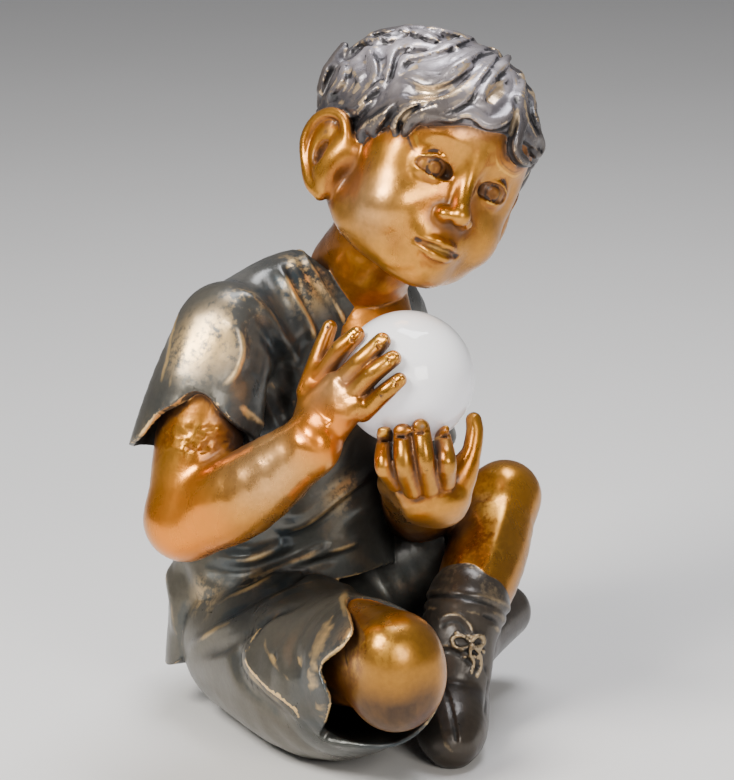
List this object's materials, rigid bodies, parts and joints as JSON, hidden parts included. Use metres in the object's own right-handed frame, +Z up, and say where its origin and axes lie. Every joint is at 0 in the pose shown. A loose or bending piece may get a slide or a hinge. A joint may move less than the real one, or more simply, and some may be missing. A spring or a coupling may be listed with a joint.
{
  "type": "seated child figurine with globe",
  "caption": "Cast figure of a toddler sitting cross-legged in T-shirt, shorts and laced shoes, looking down at an opal globe held between both hands.",
  "frame": {"origin": "on the ground, in the flat cut under the seat", "axes": "+Z up, the child sits facing -Y with its right side at -X"},
  "size_m": [0.3304, 0.3072, 0.5162],
  "materials": {
    "bronzed_resin": "hollow cast resin painted as aged bronze, gold rubbed on the high places",
    "opal_globe": "closed opal globe, glossy white"
  },
  "bodies": {
    "root": {"boy_figure": "bronzed_resin", "globe": "opal_globe"}
  },
  "joints": []
}
